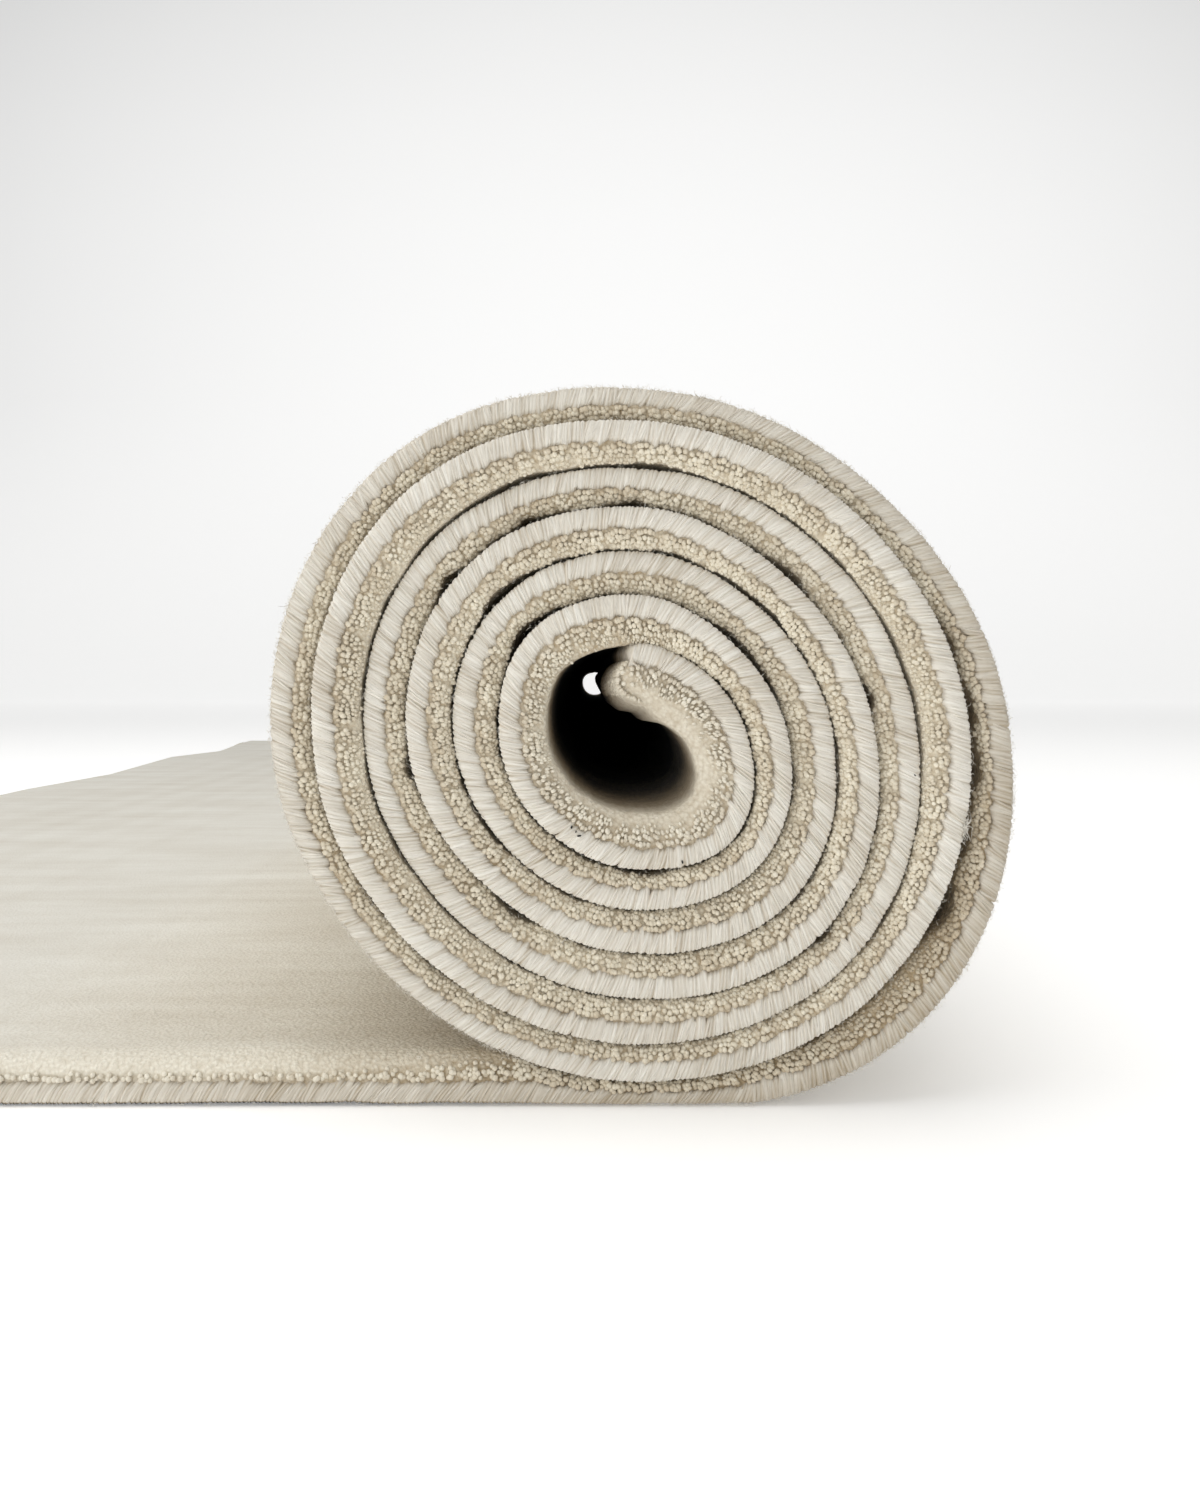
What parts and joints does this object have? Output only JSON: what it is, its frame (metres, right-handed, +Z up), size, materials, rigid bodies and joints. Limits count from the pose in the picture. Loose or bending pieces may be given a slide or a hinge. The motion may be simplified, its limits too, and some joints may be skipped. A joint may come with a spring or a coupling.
{
  "type": "rolled up carpet",
  "caption": "Cream wool carpet rolled up with its pile inwards, its edges whipped with yarn, and its loose end lying flat on the floor.",
  "frame": {"origin": "on the floor, under the middle of the whole piece, roll and loose end together", "axes": "+Y along the core of the roll, away from the front edge; +X from the loose end towards the roll; +Z up"},
  "size_m": [0.5742, 2.0048, 0.1797],
  "materials": {
    "wool_pile": "dense cut wool pile, cream",
    "binding_yarn": "fine pale yarn, whipped close over the edge",
    "woven_backing": "plain natural weave"
  },
  "bodies": {
    "root": {"carpet": "wool_pile", "binding_front": "binding_yarn", "binding_back": "binding_yarn", "binding_rolled_end": "binding_yarn", "binding_loose_end": "binding_yarn"}
  },
  "joints": []
}
